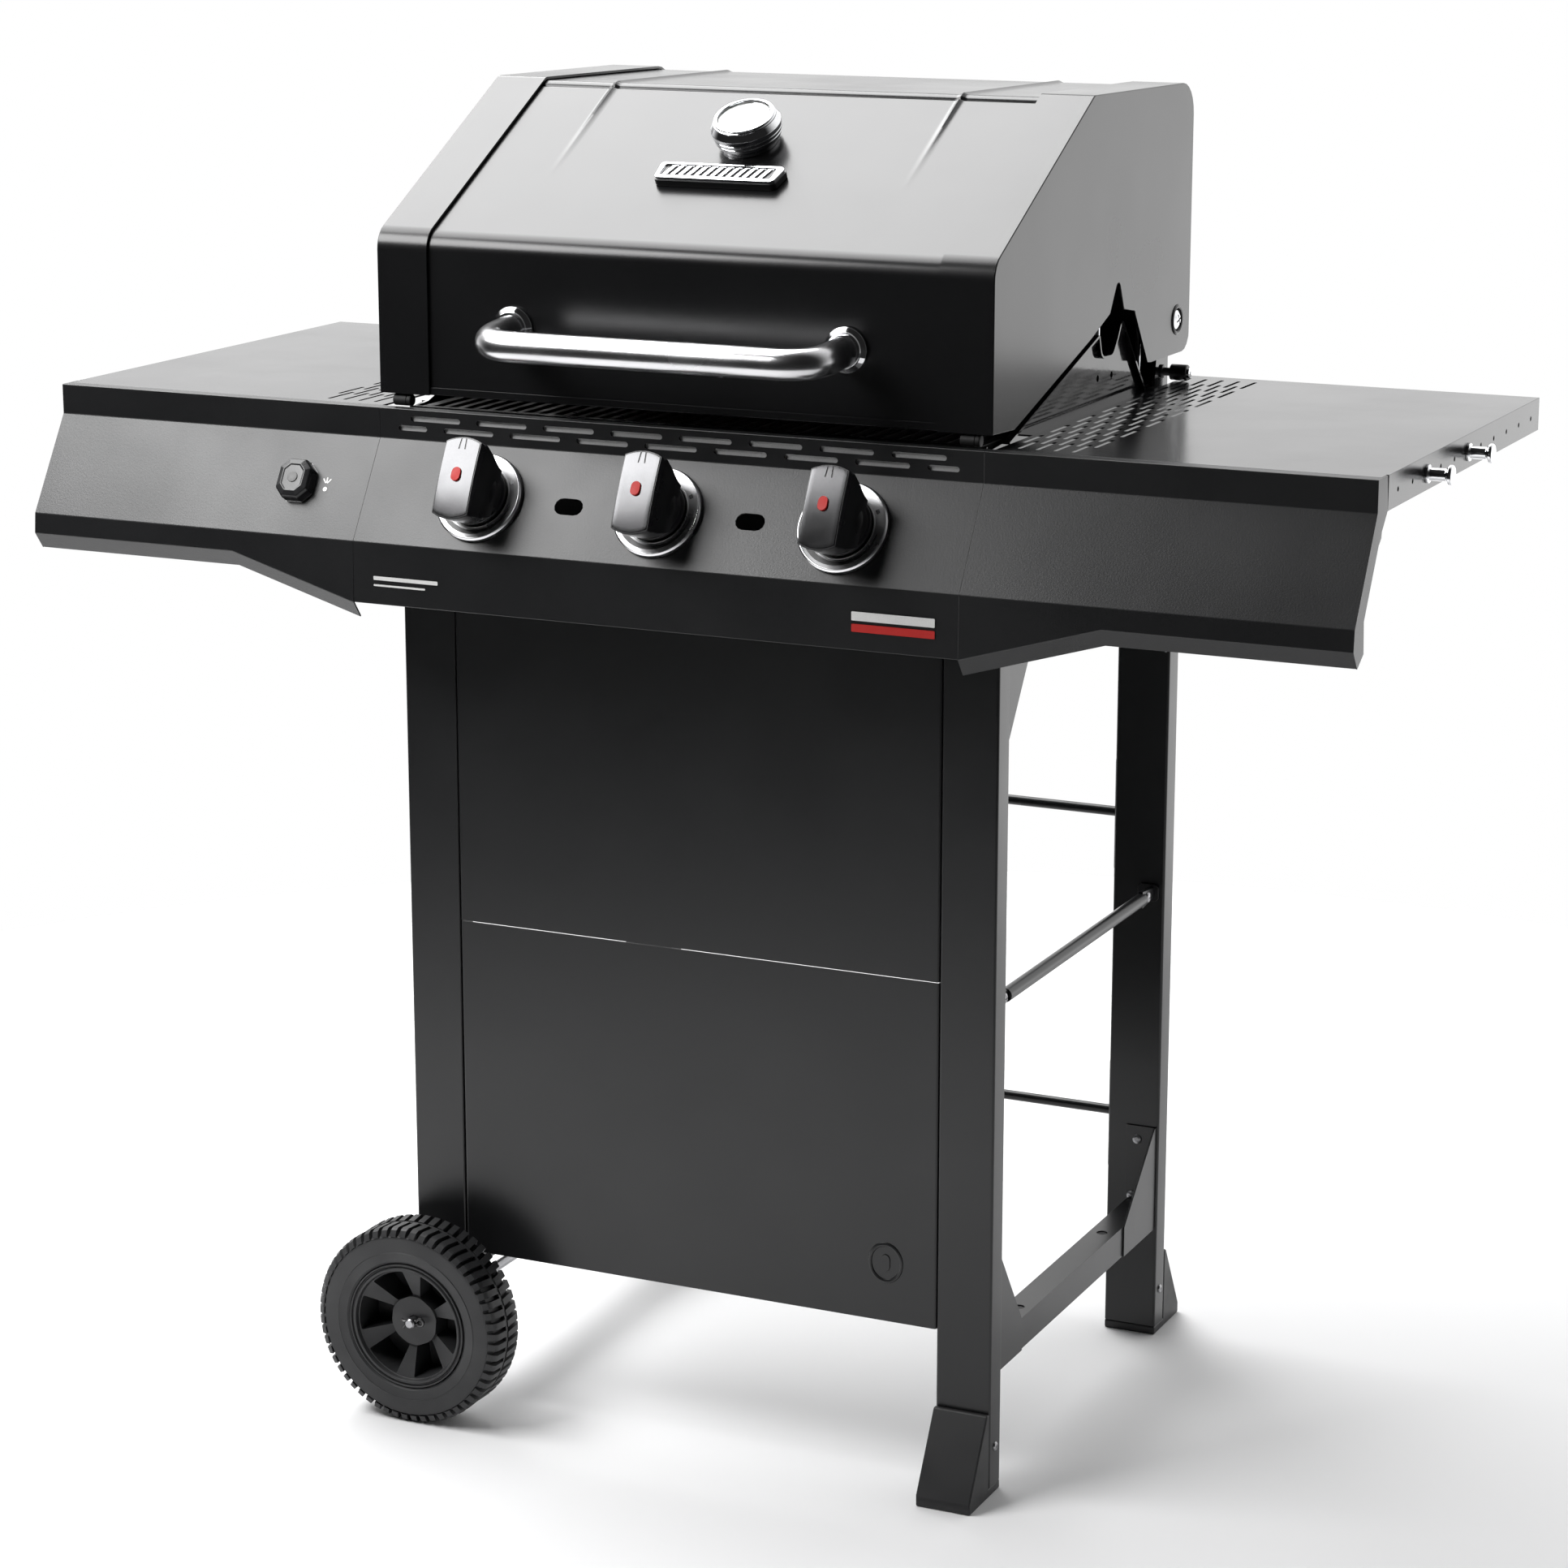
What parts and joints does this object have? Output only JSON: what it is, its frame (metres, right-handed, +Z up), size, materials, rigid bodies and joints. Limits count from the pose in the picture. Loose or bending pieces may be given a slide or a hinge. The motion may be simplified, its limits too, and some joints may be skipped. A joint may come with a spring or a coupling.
{
  "type": "gas barbecue grill",
  "caption": "Cart gas barbecue with a hinged lid, side shelves, push-and-turn burner knobs, cooking grates over tube burners, a rear grease tray and a two-wheeled leg frame.",
  "frame": {"origin": "middle of the whole grill's footprint, on the ground", "axes": "+X to the user's right along the shelves, +Y from the control panel to the back, +Z up"},
  "size_m": [1.2022, 0.6128, 1.1505],
  "materials": {
    "satin_black": "satin black paint",
    "wrinkle_black": "finely textured black powder coat",
    "porcelain_black": "glossy black enamel",
    "chrome": "polished",
    "brushed_steel": "fine brushed",
    "bare_steel": "plain rolled",
    "cast_iron": "matt black enamel",
    "brass": "machined",
    "black_plastic": "moulded",
    "tyre_black": "moulded hard tyre",
    "needle_red": "painted red"
  },
  "bodies": {
    "root": {"leg_front_left": "satin_black", "leg_rear_left": "satin_black", "leg_front_right": "satin_black", "leg_rear_right": "satin_black", "front_panel_lower": "satin_black", "front_panel_upper": "satin_black", "lower_side_frame_left": "satin_black", "lower_side_frame_right": "satin_black", "upper_side_frame_left": "satin_black", "upper_side_frame_right": "satin_black", "tank_bar": "satin_black", "rear_brace_lower": "satin_black", "rear_brace_upper": "satin_black", "side_shelf_left": "satin_black", "side_shelf_right": "satin_black", "control_panel": "wrinkle_black", "fascia_left": "wrinkle_black", "fascia_right": "wrinkle_black", "firebox_tub": "porcelain_black", "firebox_end_left": "porcelain_black", "firebox_end_right": "porcelain_black", "tool_hook_1": "chrome", "tool_hook_2": "chrome", "knob_bezel_1": "chrome", "knob_bezel_2": "chrome", "knob_bezel_3": "chrome", "hinge_pin_left": "chrome", "hinge_pin_right": "chrome", "warming_rack": "chrome", "axle": "bare_steel", "burner_1": "bare_steel", "burner_2": "bare_steel", "burner_3": "bare_steel", "emitter_plate": "bare_steel", "grate_left": "cast_iron", "grate_right": "cast_iron", "gas_manifold": "brass", "foot_front_right": "black_plastic", "foot_rear_right": "black_plastic", "lid_stop_left": "black_plastic", "lid_stop_right": "black_plastic", "ignition_module": "black_plastic"},
    "lid": {"lid_skin": "satin_black", "lid_end_left": "wrinkle_black", "lid_end_right": "wrinkle_black", "lid_handle": "brushed_steel", "gauge_case": "chrome"},
    "needle": {"gauge_needle": "needle_red"},
    "ignition": {"ignition_button": "black_plastic"},
    "wheel_front": {"tyre_front": "tyre_black", "wheel_hub_front": "black_plastic"},
    "wheel_rear": {"tyre_rear": "tyre_black", "wheel_hub_rear": "black_plastic"},
    "tray": {"grease_tray": "bare_steel"},
    "stem_1": {"valve_stem_1": "brass"},
    "knob_1": {"knob_1": "black_plastic"},
    "stem_2": {"valve_stem_2": "brass"},
    "knob_2": {"knob_2": "black_plastic"},
    "stem_3": {"valve_stem_3": "brass"},
    "knob_3": {"knob_3": "black_plastic"}
  },
  "joints": [
    {"name": "lid_hinge", "type": "hinge", "parent": "root", "child": "lid", "pos_m": [-0.01115, 0.20521, 0.944], "axis": [-1, 0, 0], "range_deg": [0, 85]},
    {"name": "gauge_sweep", "type": "hinge", "parent": "lid", "child": "needle", "pos_m": [-0.01115, -0.08571, 1.12741], "axis": [0, 0.4808, -0.8768], "range_deg": [0, 270], "stiffness_Nm_per_rad": 0.001},
    {"name": "valve_1_turn", "type": "hinge", "parent": "root", "child": "stem_1", "pos_m": [-0.17465, -0.24808, 0.82546], "axis": [0, -0.8561, 0.5169], "range_deg": [0, 225]},
    {"name": "knob_1_push", "type": "slide", "parent": "stem_1", "child": "knob_1", "axis": [0, 0.8561, -0.5169], "range_m": [0, 0.004], "stiffness_N_per_m": 1000, "springref_m": -0.002},
    {"name": "valve_2_turn", "type": "hinge", "parent": "root", "child": "stem_2", "pos_m": [-0.01115, -0.24808, 0.82546], "axis": [0, -0.8561, 0.5169], "range_deg": [0, 225]},
    {"name": "knob_2_push", "type": "slide", "parent": "stem_2", "child": "knob_2", "axis": [0, 0.8561, -0.5169], "range_m": [0, 0.004], "stiffness_N_per_m": 1000, "springref_m": -0.002},
    {"name": "valve_3_turn", "type": "hinge", "parent": "root", "child": "stem_3", "pos_m": [0.15235, -0.24808, 0.82546], "axis": [0, -0.8561, 0.5169], "range_deg": [0, 225]},
    {"name": "knob_3_push", "type": "slide", "parent": "stem_3", "child": "knob_3", "axis": [0, 0.8561, -0.5169], "range_m": [0, 0.004], "stiffness_N_per_m": 1000, "springref_m": -0.002},
    {"name": "ignition_push", "type": "slide", "parent": "root", "child": "ignition", "axis": [0, 0.8561, -0.5169], "range_m": [0, 0.004], "stiffness_N_per_m": 1000, "springref_m": -0.002},
    {"name": "wheel_front_spin", "type": "hinge", "parent": "root", "child": "wheel_front", "pos_m": [-0.26015, -0.23379, 0.0895], "axis": [0, 1, 0], "continuous": true},
    {"name": "wheel_rear_spin", "type": "hinge", "parent": "root", "child": "wheel_rear", "pos_m": [-0.26015, 0.28241, 0.0895], "axis": [0, 1, 0], "continuous": true},
    {"name": "tray_slide", "type": "slide", "parent": "root", "child": "tray", "axis": [0, 1, 0], "range_m": [0, 0.25]}
  ]
}
